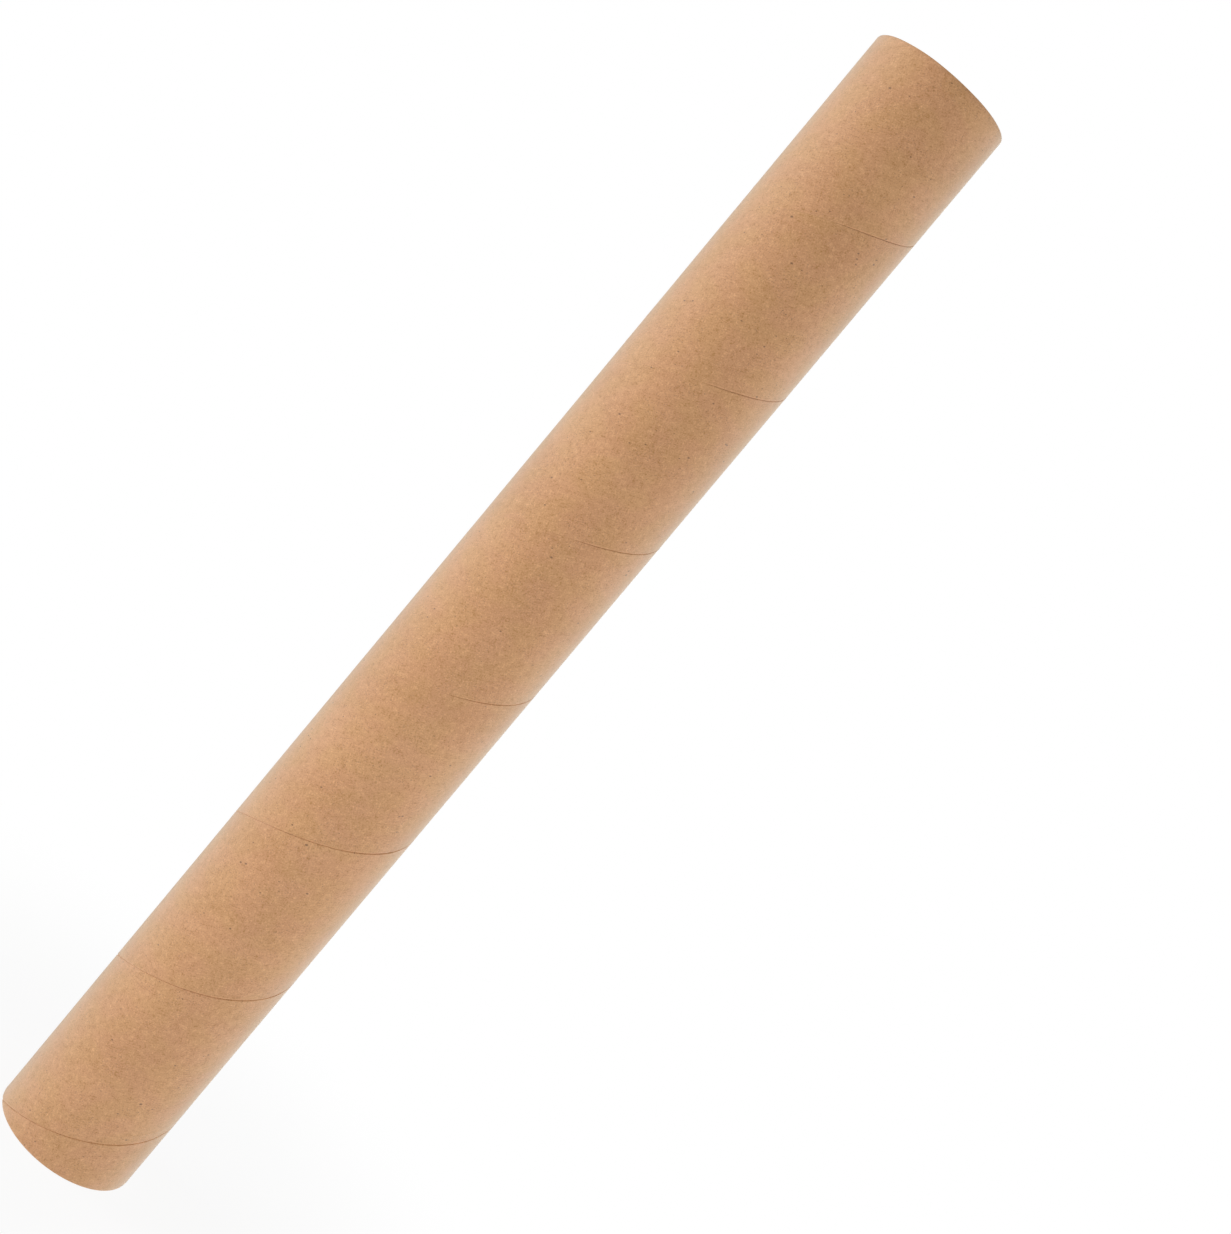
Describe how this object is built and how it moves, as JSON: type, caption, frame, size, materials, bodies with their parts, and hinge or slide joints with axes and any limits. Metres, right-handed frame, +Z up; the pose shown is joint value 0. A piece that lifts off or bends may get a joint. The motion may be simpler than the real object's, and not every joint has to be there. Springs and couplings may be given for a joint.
{
  "type": "cardboard mailing tube",
  "caption": "Plain spiral wound kraft card tube, open at both ends, with a shallow helical seam between the turns of its outside paper.",
  "frame": {"origin": "centre of the lower end, on the surface the tube stands on", "axes": "+Z up along the tube's axis, -Y towards the side the picture shows, +X to the right of that side"},
  "size_m": [0.046, 0.046, 0.4],
  "materials": {
    "kraft_card": "matt kraft paper"
  },
  "bodies": {
    "root": {"tube": "kraft_card"}
  },
  "joints": []
}
